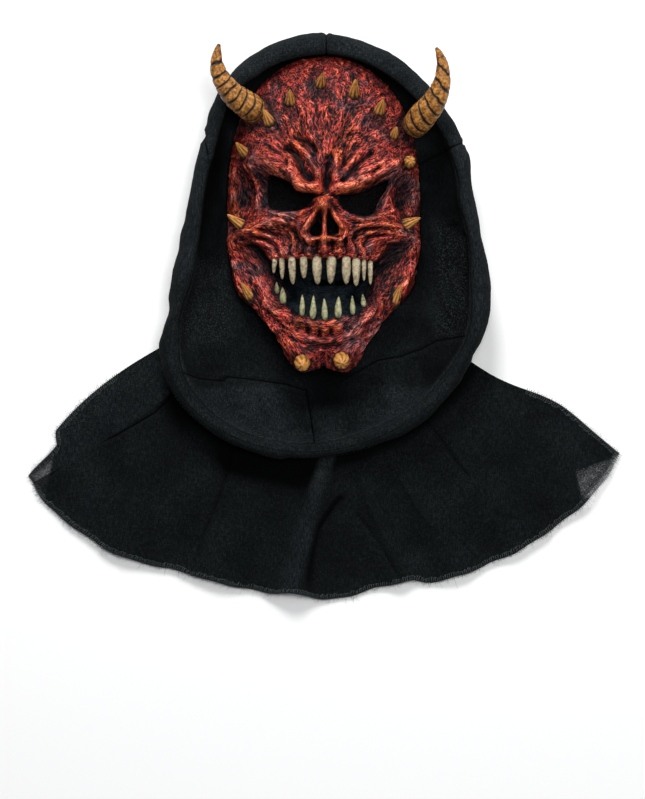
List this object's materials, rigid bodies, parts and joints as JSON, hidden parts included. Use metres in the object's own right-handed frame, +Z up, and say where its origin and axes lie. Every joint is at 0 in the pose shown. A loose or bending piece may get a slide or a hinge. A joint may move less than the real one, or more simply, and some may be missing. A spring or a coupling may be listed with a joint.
{
  "type": "demon mask",
  "caption": "Horned demon costume mask: a painted latex face with bared teeth and net behind the eyes, set in a black gauze hood with a shoulder cape, lying on its back.",
  "frame": {"origin": "middle of the plan, on the table under the mask lying on its back", "axes": "+X to the right as the face is looked at, +Y from the chin to the crown, +Z up out of the face"},
  "size_m": [0.5391, 0.5098, 0.1117],
  "materials": {
    "face_latex": "red paint dry-brushed over black, satin",
    "horn_latex": "ochre paint with dark grooves, satin",
    "eye_net": "black net",
    "gauze": "loose-woven black cotton gauze, matt"
  },
  "bodies": {
    "root": {"latex_face": "face_latex", "horn_left": "horn_latex", "horn_right": "horn_latex", "eye_net_left": "eye_net", "eye_net_right": "eye_net", "hood": "gauze", "hood_facing": "gauze", "cape_front": "gauze", "cape_back": "gauze"}
  },
  "joints": []
}
